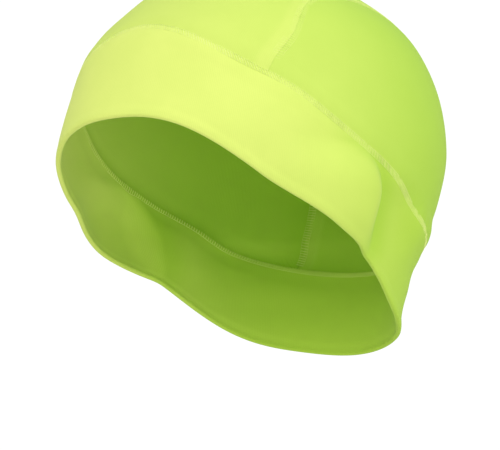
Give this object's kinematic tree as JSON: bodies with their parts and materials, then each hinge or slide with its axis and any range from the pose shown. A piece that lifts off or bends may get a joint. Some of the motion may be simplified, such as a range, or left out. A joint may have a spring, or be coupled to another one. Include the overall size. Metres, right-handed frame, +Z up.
{
  "type": "skull cap",
  "caption": "Close-fitting stretch knit skull cap with a deep folded band that drops from the brow over the ears to the nape and a crown of flat-seamed panels.",
  "frame": {"origin": "the point on the inside of the crown that lies on the top of the head", "axes": "+Z up, -Y towards the face, +X towards the wearer's left ear"},
  "size_m": [0.1658, 0.2086, 0.1819],
  "materials": {
    "band_knit": "smooth matte stretch knit, bright yellow-green, folded double",
    "crown_knit": "smooth matte stretch knit, bright yellow-green, one layer",
    "seam_thread": "soft textured thread of the flat seams, a little lighter than the knit"
  },
  "bodies": {
    "root": {"band": "band_knit", "crown_center_panel": "crown_knit", "side_panel_left": "crown_knit", "side_panel_right": "crown_knit"}
  },
  "joints": []
}
